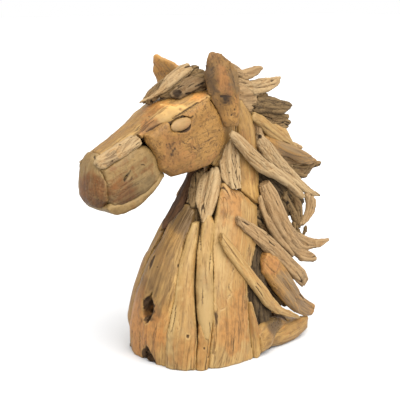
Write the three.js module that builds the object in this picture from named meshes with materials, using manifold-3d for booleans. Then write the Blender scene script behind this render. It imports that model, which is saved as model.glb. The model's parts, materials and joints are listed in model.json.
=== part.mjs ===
// Driftwood horse head: a hollow bust of teak-root slabs with a head, ears and mane of single pieces.
// Millimetres, +Z up. The horse faces -Y and its left side is +X.
import * as THREE from 'three';
import { mergeVertices } from 'three/addons/utils/BufferGeometryUtils.js';
import Module from 'manifold-3d';

const wasm = await Module();
wasm.setup();

// ---- driving dimensions ----
const CLEARANCE = 0.4; // how far a placed piece is grown before it trims its neighbours
const EYE_GROOVE = 2.2; // open line around each inlaid eye
const WALL = 30; // thickness of the bust's slabs
const CROWN = 5; // how far a slab's middle stands proud of its edges
const LOCK_SIDES = 8; // section sides of a lock of the mane
const RAY = Math.PI / 180;

// The bust's outer skin, a rounded oblong at each height:
// [height, half width, half depth, centre Y, squareness (2 is an ellipse)].
const SKIN = [
  [0, 126, 142, 8, 3],
  [60, 124, 147, 6, 2.8],
  [120, 117, 149, 8, 2.15],
  [210, 97, 145, 32, 2.1],
  [300, 75, 108, 55, 2],
  [350, 62, 84, 65, 2],
  [450, 54, 62, 62, 2],
  [530, 38, 40, 45, 2],
];

// ---- colours: [colour, roughness] ----
const HONEY = [0xd0a064, 0.5];
const GOLDEN = [0xd8a86c, 0.5];
const BURL = [0xb1813f, 0.45];
const MUZZLE = [0xa58458, 0.5];
const PALE = [0xc8aa7c, 0.7];
const GREY_TAN = [0xab9070, 0.8];
const DARK = [0x75593a, 0.85];
const RED_BROWN = [0x5c3c22, 0.7];
const EYE = [0xdcb27c, 0.5];

// ---- shape helpers ----
const skinCurve = new THREE.CubicInterpolant(
  SKIN.map((row) => row[0]),
  SKIN.flatMap((row) => row.slice(1)),
  4,
);

// A point of the skin: angle from the chest (0) round the left side (90) to the back (180).
function skin(angle, z, out) {
  const [half, depth, centre, square] = skinCurve.evaluate(THREE.MathUtils.clamp(z, 0, 530));
  const [side, front] = [Math.sin(angle * RAY), Math.cos(angle * RAY)];
  const fill = (Math.abs(side) ** square + Math.abs(front) ** square) ** (-1 / square);
  return new THREE.Vector3((half * fill + out) * side, centre - (depth * fill + out) * front, z);
}

// Bends a capped cylinder: place(turn, along, reach) gives each of its points, reach 0 being a cap's middle.
function bend(sides, steps, place) {
  const geometry = new THREE.CylinderGeometry(1, 1, 1, sides, steps);
  const points = geometry.attributes.position;
  for (let i = 0; i < points.count; i += 1) {
    const [x, y, z] = [points.getX(i), points.getY(i), points.getZ(i)];
    const turn = (Math.atan2(x, z) / (2 * Math.PI) + 1) % 1;
    const spot = place(turn, y + 0.5, Math.min(1, Math.hypot(x, z)));
    points.setXYZ(i, spot.x, spot.y, spot.z);
  }
  return geometry;
}

// A table row between the rows given, by the share of the way through the table.
function between(rows, along, column, missing = 0) {
  const at = along * (rows.length - 1);
  const low = Math.min(Math.floor(at), rows.length - 2);
  const value = (row) => row[column] ?? missing;
  return THREE.MathUtils.lerp(value(rows[low]), value(rows[low + 1]), at - low);
}

// A slab of the bust: rows of [height, first angle, last angle, lift off the skin], top to bottom.
function slab(rows, { wall = WALL, crown = CROWN, across = 5 } = {}) {
  const sides = across * 2;
  return bend(sides, rows.length - 1, (turn, along, reach) => {
    const corner = Math.round(turn * sides) % sides;
    const outer = corner < across;
    const share = (outer ? corner : sides - 1 - corner) / (across - 1);
    const middle = reach < 0.5;
    const u = middle ? 0 : share * 2 - 1;
    const z = between(rows, along, 0);
    const angle = THREE.MathUtils.lerp(between(rows, along, 1), between(rows, along, 2), (u + 1) / 2);
    const lift = between(rows, along, 3);
    const proud = crown * (1 - u ** 4) - crown;
    const depth = middle ? -wall / 2 : outer ? proud : -wall;
    return skin(angle, z, lift + depth);
  });
}

// A flat, tapering stick along a curve: rows of [x, y, z, width, thickness], broad side towards `face`.
function lock(face, rows, { sides = LOCK_SIDES, steps = rows.length - 1, square = 0.8 } = {}) {
  const line = new THREE.CatmullRomCurve3(rows.map(([x, y, z]) => new THREE.Vector3(x, y, z)));
  const up = new THREE.Vector3(...face).normalize();
  const soft = (value) => Math.sign(value) * Math.abs(value) ** square;
  return bend(sides, steps, (turn, along, reach) => {
    const tangent = line.getTangent(along);
    const out = up.clone().addScaledVector(tangent, -up.dot(tangent)).normalize();
    const across = tangent.clone().cross(out);
    const width = between(rows, along, 3) * 0.5 * reach * soft(Math.cos(turn * 2 * Math.PI));
    const thick = between(rows, along, 4) * 0.5 * reach * soft(Math.sin(turn * 2 * Math.PI));
    return line.getPoint(along).addScaledVector(across, width).addScaledVector(out, thick);
  });
}

// A block seen from the side: a closed outline of [y, z], stacked in layers of [x, scale].
function block(outline, layers, sides = 14) {
  const loop = new THREE.CatmullRomCurve3(outline.map(([y, z]) => new THREE.Vector3(0, y, z)), true);
  const box = new THREE.Box3().setFromPoints(loop.points);
  const middle = box.getCenter(new THREE.Vector3());
  return bend(sides, layers.length - 1, (turn, along, reach) => {
    const scale = between(layers, along, 1) * reach;
    const spot = loop.getPoint(turn).sub(middle).multiplyScalar(scale).add(middle);
    spot.x = between(layers, along, 0);
    return spot;
  });
}

// An egg between a ball and a brick: centre, half sizes, and how square it is (1 is round).
function egg(centre, half, square, tilt = 0) {
  const geometry = new THREE.SphereGeometry(1, 10, 7);
  const points = geometry.attributes.position;
  const soft = (value) => Math.sign(value) * Math.abs(value) ** square;
  for (let i = 0; i < points.count; i += 1) {
    const spot = new THREE.Vector3(soft(points.getX(i)), soft(points.getY(i)), soft(points.getZ(i)));
    spot.multiply(new THREE.Vector3(...half));
    spot.applyAxisAngle(new THREE.Vector3(1, 0, 0), tilt * RAY);
    points.setXYZ(i, spot.x + centre[0], spot.y + centre[1], spot.z + centre[2]);
  }
  return geometry;
}

// The same rows on the horse's right side.
const mirrorRows = (rows) => rows.map(([z, first, last, lift]) => [z, -last, -first, lift]);
const mirrored = (geometry) => geometry.scale(-1, 1, 1);

// ---- solids ----
function welded(geometry) {
  const bare = geometry.clone();
  bare.deleteAttribute('normal');
  bare.deleteAttribute('uv');
  const whole = mergeVertices(bare, 1e-3);
  if (volume(whole) < 0) {
    whole.index.array.reverse();
  }
  return whole;
}

function volume(geometry) {
  const corner = [0, 1, 2].map(() => new THREE.Vector3());
  let sum = 0;
  for (let i = 0; i < geometry.index.count; i += 3) {
    corner.forEach((point, k) => point.fromBufferAttribute(geometry.attributes.position, geometry.index.getX(i + k)));
    sum += corner[0].dot(corner[1].clone().cross(corner[2])) / 6;
  }
  return sum;
}

function toSolid(geometry) {
  const whole = welded(geometry);
  const mesh = new wasm.Mesh({
    numProp: 3,
    vertProperties: new Float32Array(whole.attributes.position.array),
    triVerts: new Uint32Array(whole.index.array),
  });
  return new wasm.Manifold(mesh);
}

function toGeometry(solid) {
  const mesh = solid.getMesh();
  const geometry = new THREE.BufferGeometry();
  geometry.setAttribute('position', new THREE.BufferAttribute(mesh.vertProperties, 3));
  geometry.setIndex(new THREE.BufferAttribute(mesh.triVerts, 1));
  return geometry;
}

// The same shape, every point moved out until the faces round it have moved by the distance.
function grown(geometry, distance) {
  const whole = welded(geometry);
  const { position } = whole.attributes;
  const facings = Array.from({ length: position.count }, () => []);
  for (let i = 0; i < whole.index.count; i += 3) {
    const corners = [0, 1, 2].map((k) => whole.index.getX(i + k));
    const [a, b, c] = corners.map((at) => new THREE.Vector3().fromBufferAttribute(position, at));
    const facing = b.sub(a).cross(c.sub(a)).normalize();
    corners.forEach((at) => facings[at].push(facing));
  }
  facings.forEach((around, i) => {
    const way = around.reduce((sum, facing) => sum.add(facing), new THREE.Vector3()).normalize();
    const least = Math.min(...around.map((facing) => facing.dot(way)));
    const spot = new THREE.Vector3().fromBufferAttribute(position, i);
    spot.addScaledVector(way, distance / Math.max(least, 0.4));
    position.setXYZ(i, spot.x, spot.y, spot.z);
  });
  return whole;
}

// Trimming can leave crumbs: only the largest closed shell is the piece.
function largestShell(geometry) {
  const whole = mergeVertices(geometry, 1e-3);
  const owner = Array.from({ length: whole.attributes.position.count }, (_, i) => i);
  const root = (i) => {
    let at = i;
    while (owner[at] !== at) {
      at = owner[at];
    }
    return at;
  };
  const faces = [];
  for (let i = 0; i < whole.index.count; i += 3) {
    const face = [0, 1, 2].map((k) => whole.index.getX(i + k));
    faces.push(face);
    owner[root(face[1])] = root(face[0]);
    owner[root(face[2])] = root(face[0]);
  }
  const shells = new Map();
  faces.forEach((face) => {
    const key = root(face[0]);
    shells.set(key, [...(shells.get(key) ?? []), ...face]);
  });
  const parts = [...shells.values()].map((index) => {
    const part = whole.clone();
    part.setIndex(index);
    return part;
  });
  return parts.sort((a, b) => volume(b) - volume(a))[0];
}

// ---- assembly ----
const horse = new THREE.Group();
const placed = [];

// Puts a piece in, trimmed by all that is in already and by its own cutters.
function put(name, [color, roughness], geometry, { clearance = CLEARANCE, cutters = [] } = {}) {
  geometry.computeBoundingBox();
  let solid = toSolid(geometry);
  for (const other of placed) {
    if (other.box.intersectsBox(geometry.boundingBox)) {
      solid = solid.subtract(other.solid);
    }
  }
  for (const cutter of cutters) {
    solid = solid.subtract(toSolid(cutter));
  }
  const shape = largestShell(toGeometry(solid));
  shape.computeVertexNormals();
  const mesh = new THREE.Mesh(shape, new THREE.MeshStandardMaterial({ color, roughness, metalness: 0 }));
  mesh.name = name;
  horse.add(mesh);
  placed.push({ box: geometry.boundingBox.clone().expandByScalar(clearance), solid: toSolid(grown(geometry, clearance)) });
}

// ---- head ----
const CHEEK_OUTLINE = [
  [-22, 512], [5, 480], [24, 451], [25, 424], [14, 400], [-6, 380], [-36, 371],
  [-80, 366], [-124, 365], [-134, 389], [-146, 418], [-162, 436], [-162, 449], [-111, 471], [-60, 494],
];
const CHEEK_LAYERS = [[1, 0.78], [46, 1], [57, 0.94], [62, 0.72]];
const LIP_OUTLINE = [
  [-250, 390], [-214, 407], [-178, 424], [-150, 425], [-136, 416], [-127, 398], [-122, 374], [-130, 356],
  [-156, 338], [-182, 327], [-210, 320], [-230, 321], [-238, 340], [-244, 366],
];
const LIP_LAYERS = [[1, 0.94], [34, 1], [44, 0.94], [49, 0.72]];
const JAW_OUTLINE = [
  [-240, 316], [-232, 309], [-222, 305], [-205, 304], [-184, 309], [-160, 321], [-138, 338], [-118, 358],
  [-112, 372], [-130, 382], [-190, 356], [-232, 328],
];
const JAW_LAYERS = [[-45, 0.74], [-38, 0.97], [38, 0.97], [45, 0.74]];

// Along the face: [y, half width, top z, side z] of the long piece from the poll to the nose.
const BRIDGE = [
  [18, 46, 519, 508],
  [-18, 56, 519, 504],
  [-60, 58, 511, 487],
  [-106, 55, 496, 465],
  [-140, 46, 477, 450],
  [-168, 37, 456, 440],
  [-205, 30, 436, 420],
  [-240, 25, 418, 404],
];

function bridgePiece() {
  return bend(10, BRIDGE.length - 1, (turn, along, reach) => {
    const angle = turn * 2 * Math.PI;
    const [y, half, top, side] = [0, 1, 2, 3].map((column) => between(BRIDGE, along, column));
    const rise = Math.cos(angle) * reach;
    const x = half * Math.sign(Math.sin(angle)) * Math.abs(Math.sin(angle)) ** 0.75 * reach;
    const z = rise > 0 ? side + (top - side) * rise ** 0.9 : side + 9 * rise;
    return new THREE.Vector3(x, y, z);
  });
}

function nostril() {
  return lock([1, 0, 0.2], [[46, -214, 363, 2, 16], [46, -206, 372, 5, 16], [46, -197, 383, 2, 16]]);
}

function stripPiece() {
  const rows = [
    [34, -164, 440, 14, 10],
    [36, -176, 435, 24, 11],
    [37, -215, 417, 25, 11],
    [36, -250, 401, 22, 11],
    [33, -259, 397, 14, 10],
  ];
  return lock([0.72, -0.2, 0.66], rows, { square: 0.55 });
}

function putHead() {
  const eye = () => egg([60, -91, 461], [7, 24, 12], 1, 13);
  put('eye_left', EYE, eye(), { clearance: EYE_GROOVE });
  put('eye_right', EYE, mirrored(eye()), { clearance: EYE_GROOVE });
  put('nose_strip_left', PALE, stripPiece());
  put('nose_strip_right', PALE, mirrored(stripPiece()).translate(9, 4, -5));
  put('nose_bridge', HONEY, bridgePiece());
  put('upper_lip_left', MUZZLE, block(LIP_OUTLINE, LIP_LAYERS), { cutters: [nostril()] });
  put('upper_lip_right', MUZZLE, mirrored(block(LIP_OUTLINE, LIP_LAYERS)), { cutters: [mirrored(nostril())] });
  put('nose_tip', MUZZLE, egg([0, -236, 366], [42, 31, 53], 0.8));
  put('cheek_left', BURL, block(CHEEK_OUTLINE, CHEEK_LAYERS));
  put('cheek_right', BURL, mirrored(block(CHEEK_OUTLINE, CHEEK_LAYERS)).translate(2, 5, -5));
  put('lower_lip', MUZZLE, block(JAW_OUTLINE, JAW_LAYERS, 11));
}

// ---- ears and forelock ----
// Rows run from the root of an ear to its tip: [x, y, z, width, thickness].
const EAR_LEFT = [
  [65, 23, 449, 30, 9],
  [66, 22, 464, 40, 13],
  [64, 17, 488, 51, 15],
  [62, 11, 514, 67, 15],
  [60, 5, 540, 72, 14],
  [57, -3, 562, 60, 12],
  [54, -10, 579, 36, 9],
  [52, -15, 590, 10, 5],
];
const EAR_RIGHT = [
  [-50, 8, 500, 26, 12],
  [-57, -8, 520, 58, 15],
  [-63, -26, 541, 64, 15],
  [-67, -40, 558, 48, 13],
  [-69, -50, 571, 22, 9],
  [-70, -54, 580, 8, 5],
];

function putEars() {
  put('ear_left', BURL, lock([0.95, -0.3, 0.1], EAR_LEFT, { square: 1 }));
  put('ear_right', BURL, lock([0.35, -0.93, 0.1], EAR_RIGHT, { square: 1 }));
}

function putForelock() {
  const down = [0.5, -0.35, 0.8];
  put('forelock_long', PALE, lock(down, [
    [8, -28, 561, 22, 12], [6, -46, 553, 28, 15], [5, -72, 538, 26, 15],
    [4, -98, 518, 15, 12], [2, -122, 505, 10, 9], [1, -144, 498, 3, 4],
  ]));
  put('forelock_cross', GREY_TAN, lock(down, [
    [27, 4, 543, 22, 13], [27, -22, 538, 26, 16], [26, -48, 528, 30, 17], [24, -72, 514, 24, 13], [22, -88, 510, 10, 7],
  ]));
  put('forelock_dark', DARK, lock([0.2, -0.5, 0.8], [
    [-12, -52, 541, 18, 12], [-14, -80, 527, 26, 14], [-14, -104, 510, 24, 13], [-12, -122, 493, 8, 7],
  ]));
  put('forelock_knob', DARK, lock(down, [
    [10, -47, 545, 8, 9], [12, -34, 552, 17, 16], [14, -20, 553, 17, 16], [16, -6, 547, 9, 10],
  ]));
}

// ---- bust ----
const CHEST = [
  [300, 10, 22], [288, 8, 31], [263, -3, 33], [235, 0, 32], [195, -8, 33.5], [130, -21, 34.5], [58, -28, 29.5], [0, -27, 24],
];
const SHOULDER = [[268, 33.5, 39], [248, 32.5, 43], [186, 34.5, 47.5], [136, 35.5, 50.5], [66, 30.5, 53], [0, 25, 50]];
const FLANK = [
  [338, 54.5, 60], [318, 56, 84], [288, 58.5, 110], [254, 59, 108],
  [209, 62.5, 104], [150, 66.5, 98.5], [78, 66.2, 98.5], [0, 60, 101.5],
];
const NECK_PANEL = [[494, 98, 108], [467, 88, 130], [434, 82, 138], [400, 79, 136], [365, 80, 130], [322, 85.5, 121], [289, 111, 117]];
const REAR_WEDGE = [[114, 99.6, 101.5], [93, 100.2, 105.5], [64, 100.6, 109], [35, 101, 116.5], [13, 102, 114], [0, 102.5, 107]];
const THROAT = [[360, 0, 16], [325, 6, 24], [302, 12, 30], [290, 30, 33]];

function putLeftSlabs() {
  const knotHole = lock([0, -1, 0], [[2, -130, 88, 8, 60], [8, -130, 100, 18, 60], [14, -130, 116, 16, 60], [24, -130, 146, 3, 60]]);
  const baseNotch = lock([0, -1, 0], [[4, -130, -6, 24, 70], [6, -130, 5, 16, 70], [4, -130, 16, 4, 70]]);
  put('chest_front', HONEY, slab(CHEST, { across: 6 }), { cutters: [knotHole, baseNotch] });
  put('chest_edge', HONEY, slab([[250, -26, -6], [205, -38, -11], [130, -52, -24], [60, -58, -31], [0, -58, -30]]));
  put('shoulder_front', GOLDEN, slab(SHOULDER));
  put('centre_slat', GOLDEN, slab(
    [[283, 45, 49], [265, 45.5, 57.5], [220, 48.5, 61], [156, 52.5, 65], [100, 55.5, 65.2], [80, 56.5, 63.5], [60, 58.8, 60.5]],
    { wall: 22 },
  ));
  put('flank_left', GOLDEN, slab(FLANK, { across: 6 }));
  put('foot_strip', HONEY, slab([[100, 57, 63], [84, 54.6, 64.4], [60, 53.8, 63.4], [0, 50.9, 59.2]], { crown: 3 }));
  put('rear_wedge_left', HONEY, slab(REAR_WEDGE));
  put('rear_inner_left', DARK, slab([[214, 105, 140, -8], [150, 101, 142, -8], [100, 102, 144, -8], [50, 114, 142, -10], [0, 120, 138, -14]], { wall: 18 }));
  put('neck_panel_left', HONEY, slab(NECK_PANEL, { wall: 20, across: 6 }));
  put('cheek_slat', PALE, slab(
    [[424, 62, 67, 4], [397, 51, 75, 5], [378, 47, 76, 5], [352, 53, 78, 5], [324, 68, 82, 5]],
    { wall: 13, crown: 3 },
  ));
  put('throat_slat', PALE, slab([[366, 34, 45], [346, 19, 53, 3], [307, 28, 51.5, 4], [286, 37, 50, 4], [268, 44, 47, 3]], { wall: 16 }));
  put('throat_dark', DARK, slab(THROAT, { wall: 18 }));
  put('throat_far', RED_BROWN, slab([[362, -26, -2, -2], [313, -26, 5, -3], [290, -24, 8, -3], [262, -18, -4, -3], [248, -12, -6, -3]], { wall: 18 }));
}

function putRightSlabs() {
  put('shoulder_right', HONEY, slab([[300, -62, -40, -6], [250, -66, -27, -4], [195, -74, -40], [130, -82, -54], [60, -84, -60], [0, -84, -60]]));
  put('flank_right', GOLDEN, slab(
    [[322, -108, -64], [270, -116, -68], [205, -118, -76], [130, -118, -84], [60, -120, -86], [0, -122, -86]],
  ));
  put('rear_right', HONEY, slab([[240, -146, -119], [180, -150, -120], [90, -152, -121], [0, -152, -124]]));
  put('neck_panel_right', HONEY, slab(mirrorRows(NECK_PANEL), { wall: 20 }));
  put('throat_right', GREY_TAN, slab([[368, -66, -28], [340, -70, -30], [304, -62, -36]], { wall: 18 }));
  put('back_slab', HONEY, slab([[330, 142, 218], [240, 141, 213], [120, 143, 208], [0, 146, 207]]));
  put('crest', GREY_TAN, slab([[508, 140, 212, 6], [450, 140, 220, 14], [390, 139, 222, 16], [336, 140, 222, 4]], { wall: 30 }));
}

// The block that closes the neck's top between the ears, from the poll back to the crest.
function putPoll() {
  const outline = [[6, 510], [36, 520], [78, 524], [108, 512], [124, 488], [100, 466], [60, 470], [12, 482]];
  put('poll_block', GREY_TAN, block(outline, [[-42, 0.8], [0, 1], [42, 0.8]], 8));
}

// A root flare that runs out behind the bust, flat on the ground.
function rootFoot() {
  const rows = [[62, 128, 33, 66, 44], [64, 150, 27, 54, 42], [60, 180, 21, 42, 36], [55, 212, 15, 30, 28], [50, 243, 7, 13, 16]];
  return lock([1, 0, 0], rows, { square: 0.7 });
}

function putRootFoot() {
  const ground = new THREE.BoxGeometry(400, 600, 60).translate(0, 200, -30);
  put('root_foot', HONEY, rootFoot(), { cutters: [ground] });
}

// ---- mane ----
const OUT = [0.95, 0, 0.25]; // the way the left locks face

const MANE_LEFT = {
  lock_sweep: [GREY_TAN, [
    [66, 104, 334, 24, 12], [72, 118, 302, 38, 16], [74, 136, 266, 44, 18], [73, 157, 235, 38, 18],
    [70, 192, 205, 32, 16], [65, 231, 190, 24, 13], [59, 271, 184, 15, 10], [53, 306, 187, 4, 4],
  ]],
  lock_long: [PALE, [
    [68, 20, 439, 12, 9], [70, 38, 420, 24, 13], [70, 64, 397, 27, 15], [68, 97, 371, 28, 16], [66, 133, 349, 23, 15],
    [63, 172, 326, 20, 13], [60, 205, 303, 16, 11], [58, 227, 286, 7, 6],
  ]],
  lock_grey: [GREY_TAN, [
    [84, 20, 277, 12, 8], [90, 44, 255, 26, 15], [91, 74, 232, 30, 17], [90, 106, 209, 34, 18], [87, 137, 184, 30, 17],
    [84, 170, 153, 33, 16], [78, 201, 129, 33, 14], [73, 218, 110, 22, 10],
  ]],
  lock_polished: [BURL, [
    [90, 93, 199, 30, 14], [92, 101, 172, 48, 20], [90, 128, 141, 52, 21], [88, 157, 108, 50, 20],
    [83, 187, 78, 43, 18], [76, 218, 57, 34, 14], [69, 247, 46, 22, 10],
  ]],
  lock_slat: [GOLDEN, [
    [88, -20, 249, 9, 8], [97, -5, 222, 20, 13], [107, 21, 184, 24, 14], [113, 47, 149, 24, 15], [113, 80, 106, 24, 15],
    [106, 112, 81, 21, 14], [97, 151, 62, 17, 12], [88, 193, 44, 6, 6],
  ]],
  lock_second: [PALE, [
    [48, 104, 424, 14, 9], [50, 122, 402, 30, 14], [52, 146, 372, 34, 15], [52, 180, 342, 28, 14], [51, 222, 314, 20, 11],
    [50, 262, 290, 12, 8], [50, 279, 283, 4, 4],
  ]],
  lock_strip: [GREY_TAN, [
    [76, 89, 311, 8, 8], [79, 95, 285, 13, 11], [81, 108, 256, 15, 12], [80, 129, 227, 15, 12], [78, 158, 196, 12, 10], [76, 182, 172, 5, 6],
  ]],
  lock_hook: [GREY_TAN, [
    [55, 234, 296, 10, 8], [55, 247, 277, 21, 12], [55, 246, 256, 22, 13], [55, 234, 239, 16, 11], [55, 215, 227, 5, 5],
  ]],
  lock_wing: [BURL, [
    [40, 128, 412, 18, 11], [42, 163, 395, 30, 14], [43, 196, 384, 27, 13], [43, 226, 370, 27, 12], [42, 254, 360, 18, 9], [40, 277, 357, 4, 4],
  ]],
  lock_under_wing: [DARK, [
    [30, 190, 358, 14, 10], [30, 222, 345, 26, 13], [30, 248, 338, 31, 13], [30, 274, 346, 15, 9], [30, 302, 349, 4, 4],
  ]],
  lock_facet: [GOLDEN, [
    [38, 98, 464, 16, 11], [41, 120, 450, 23, 15], [41, 148, 428, 26, 16], [40, 182, 408, 20, 12], [37, 222, 387, 6, 5],
  ]],
  lock_jagged: [DARK, [
    [28, 140, 446, 14, 10], [28, 162, 443, 24, 14], [28, 186, 441, 27, 14], [28, 208, 437, 15, 8],
  ]],
  lock_lumpy: [DARK, [
    [34, 78, 487, 20, 13], [35, 104, 486, 30, 18], [34, 132, 482, 35, 20], [33, 162, 475, 34, 18], [32, 190, 473, 22, 13], [31, 214, 476, 5, 5],
  ]],
  lock_split: [PALE, [
    [34, 72, 513, 24, 11], [36, 102, 516, 28, 14], [35, 134, 520, 26, 14], [33, 160, 526, 18, 10], [31, 181, 533, 5, 4],
  ]],
  lock_leaf: [GREY_TAN, [
    [34, 62, 546, 10, 8], [35, 86, 541, 16, 10], [34, 112, 549, 17, 9], [33, 132, 555, 4, 4],
  ]],
};

const MANE_RIGHT = {
  lock_right_top: [PALE, [
    [-30, 66, 520, 20, 12], [-34, 100, 512, 28, 14], [-32, 140, 508, 24, 13], [-28, 182, 512, 5, 5],
  ]],
  lock_right_upper: [GREY_TAN, [
    [-40, 84, 480, 20, 12], [-44, 120, 462, 34, 17], [-42, 160, 440, 28, 15], [-38, 206, 424, 6, 5],
  ]],
  lock_right_wing: [BURL, [
    [-44, 108, 426, 16, 11], [-50, 142, 398, 30, 15], [-49, 186, 370, 24, 14], [-44, 240, 350, 5, 5],
  ]],
  lock_right_long: [PALE, [
    [-68, 26, 432, 14, 10], [-72, 62, 396, 28, 15], [-70, 104, 356, 30, 16], [-62, 152, 322, 24, 14], [-56, 206, 290, 6, 6],
  ]],
  lock_right_sweep: [GREY_TAN, [
    [-74, 100, 326, 24, 13], [-80, 122, 276, 42, 18], [-76, 160, 228, 36, 17], [-68, 216, 196, 20, 12], [-62, 262, 186, 5, 5],
  ]],
  lock_right_low: [GOLDEN, [
    [-92, 20, 262, 14, 10], [-104, 58, 212, 32, 17], [-102, 108, 160, 36, 18], [-92, 160, 112, 28, 15], [-84, 206, 76, 6, 6],
  ]],
};

// The sweeping lock splits in two near its end: the lower prong is of the same piece.
function sweepProng() {
  return lock(OUT, [[73, 150, 232, 16, 12], [71, 179, 200, 26, 15], [66, 216, 171, 28, 13], [60, 258, 154, 14, 8]]);
}

function putMane() {
  for (const [name, [finish, rows]] of Object.entries(MANE_LEFT)) {
    let shape = lock(OUT, rows);
    if (name === 'lock_sweep') {
      shape = toGeometry(toSolid(shape).add(toSolid(sweepProng())));
    }
    put(name, finish, shape);
  }
  for (const [name, [finish, rows]] of Object.entries(MANE_RIGHT)) {
    put(name, finish, lock([-0.95, 0, 0.25], rows));
  }
}

putHead();
putEars();
putForelock();
putLeftSlabs();
putRightSlabs();
putPoll();
putRootFoot();
putMane();

// The origin is under the middle of the whole object.
const box = new THREE.Box3().setFromObject(horse);
const middle = box.getCenter(new THREE.Vector3());
horse.position.set(-middle.x, -middle.y, -box.min.z);

export default horse;
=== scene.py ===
# Looks of the driftwood horse head: every piece of wood, its grain and wear, the floor, lights and camera.
# Metres, in the row's own frame: +Z up, the horse faces -Y and its left side is +X.
import json

import bmesh
import bpy
import numpy as np
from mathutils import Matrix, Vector


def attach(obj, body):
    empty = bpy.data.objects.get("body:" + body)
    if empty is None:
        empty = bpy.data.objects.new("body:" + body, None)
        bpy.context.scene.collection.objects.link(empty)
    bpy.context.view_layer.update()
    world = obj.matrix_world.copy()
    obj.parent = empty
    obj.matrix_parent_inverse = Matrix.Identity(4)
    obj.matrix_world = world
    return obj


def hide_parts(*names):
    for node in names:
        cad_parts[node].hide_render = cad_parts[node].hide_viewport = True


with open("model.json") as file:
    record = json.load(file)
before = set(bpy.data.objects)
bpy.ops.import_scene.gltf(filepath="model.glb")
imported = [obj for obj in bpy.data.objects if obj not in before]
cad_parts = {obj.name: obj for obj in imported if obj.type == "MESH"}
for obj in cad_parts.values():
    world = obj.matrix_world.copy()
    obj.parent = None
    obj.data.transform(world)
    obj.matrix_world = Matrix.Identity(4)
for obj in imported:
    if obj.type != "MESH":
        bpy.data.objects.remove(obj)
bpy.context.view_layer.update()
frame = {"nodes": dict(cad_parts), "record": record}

MM = 0.001

# What the carving tells the finishes about each point, from 0 to 1; tone and shade may be below 0 too.
# hollow is painted shade in cracks, pits, grooves and hollows, and also a knot's dark heart; the edge mark
# is partly rubbed wear and partly a painted highlight on ridges; shade darkens, as painted shade on
# undersides and in gaps behind other pieces and elsewhere as a piece's own colour, and below 0 lightens.
MARKS = ("hollow", "wear_and_highlight", "tone", "warm", "shade")

# Large odd numbers that scatter the noise's corners and seeds.
CORNER_FACTORS = (73856093, 19349663, 83492791)
SEED_FACTOR = 2654435761
SCATTER = ((15, 2246822519), (13, 3266489917))
WORD, TEN_BITS = 0xFFFFFFFF, 1023

STATION = 0.022  # spacing of the points on a piece's middle line
STATIONS = (2, 14)  # fewest and most of them
FULL_HOLLOW = 1.2 * MM  # a hollow this deep is as dark as it gets
EYE_TILT = (0.94, 0.34)  # cosine and sine of the eyes' lean
# near-black painted shade deep in cracks, pits and hollows
DEEP_SHADE_COLOUR = (0.012, 0.008, 0.005, 1.0)
PAINT_SHARE = 0.5  # the studio's light is about twice as bright as plain light
BLUE_SHARE = 0.89  # and a little bluer

STICK_SIDES, STICK_CUTS = 8, 12
STICK_STEP = 0.06  # share of the path, before and after a ring, that sets which way it faces

FLOOR_HALF = 30  # from the middle to the sides
FLOOR_COLOURS = (0.66, 0.66, 0.66, 1.0), (0.68, 0.68, 0.68, 1.0)
# Where each light shines from, its power, and its angle, which softens the shadows.
LIGHTS = {"key": ((2.0, -0.3, 2.3), 3.6, 1.2), "top": ((0.3, -0.3, 2.3), 0.9, 1.6)}
LIGHT_TARGET = (0, 0, 0.3)
CAMERA_PLACE = (1.576, -1.251, 0.689)
CAMERA_TARGET = (0, -0.0197, 0.3)
LENS, SENSOR = 93.6, 36
NEAREST, FARTHEST = 0.05, 100


# ---- numbers ----
def noise(spots, seed=0):
    """Smooth random numbers from about -1 to 1, one for each point, with features about 1 across."""
    low = np.floor(spots).astype(np.int64)
    part = spots - low
    ease = part**3 * (part * (part * 6 - 15) + 10)
    total = np.zeros(len(spots))
    for corner in np.ndindex(2, 2, 2):
        at = low + corner
        key = at @ np.array(CORNER_FACTORS) + seed * SEED_FACTOR
        for shift, factor in SCATTER:
            key = ((key ^ (key >> shift)) * factor) & WORD
        key ^= key >> 16
        lean = np.stack([(key >> bits & TEN_BITS) / TEN_BITS * 2 - 1 for bits in (0, 10, 20)], 1)
        weight = np.prod(np.where(corner, ease, 1 - ease), axis=1)
        total += weight * ((part - corner) * lean).sum(1)
    return total * 1.6


def step(values, low, high):
    """0 below low, 1 above high, and a smooth rise between them."""
    share = np.clip((values - low) / (high - low), 0, 1)
    return share * share * (3 - 2 * share)


def numbers(rows, name, width, kind=np.float32):
    """A property of every vertex or edge, as an array."""
    found = np.zeros(len(rows) * width, kind)
    rows.foreach_get(name, found)
    return found.reshape(-1, width)


# ---- shaping ----
def even_skin(source, grid):
    """The mesh as one closed skin of even faces, each about as wide as the grid."""
    shape = bmesh.new()
    shape.from_mesh(source)
    bmesh.ops.remove_doubles(shape, verts=shape.verts, dist=0.01 * MM)
    plain = bpy.data.meshes.new("plain")
    shape.to_mesh(plain)
    shape.free()
    holder = bpy.data.objects.new("holder", plain)
    bpy.context.scene.collection.objects.link(holder)
    remesh = holder.modifiers.new("even faces", "REMESH")
    remesh.mode = "VOXEL"
    remesh.voxel_size = grid
    remesh.use_smooth_shade = True
    graph = bpy.context.evaluated_depsgraph_get()
    skin = bpy.data.meshes.new_from_object(holder.evaluated_get(graph))
    bpy.data.objects.remove(holder)
    bpy.data.meshes.remove(plain)
    return skin


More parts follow.
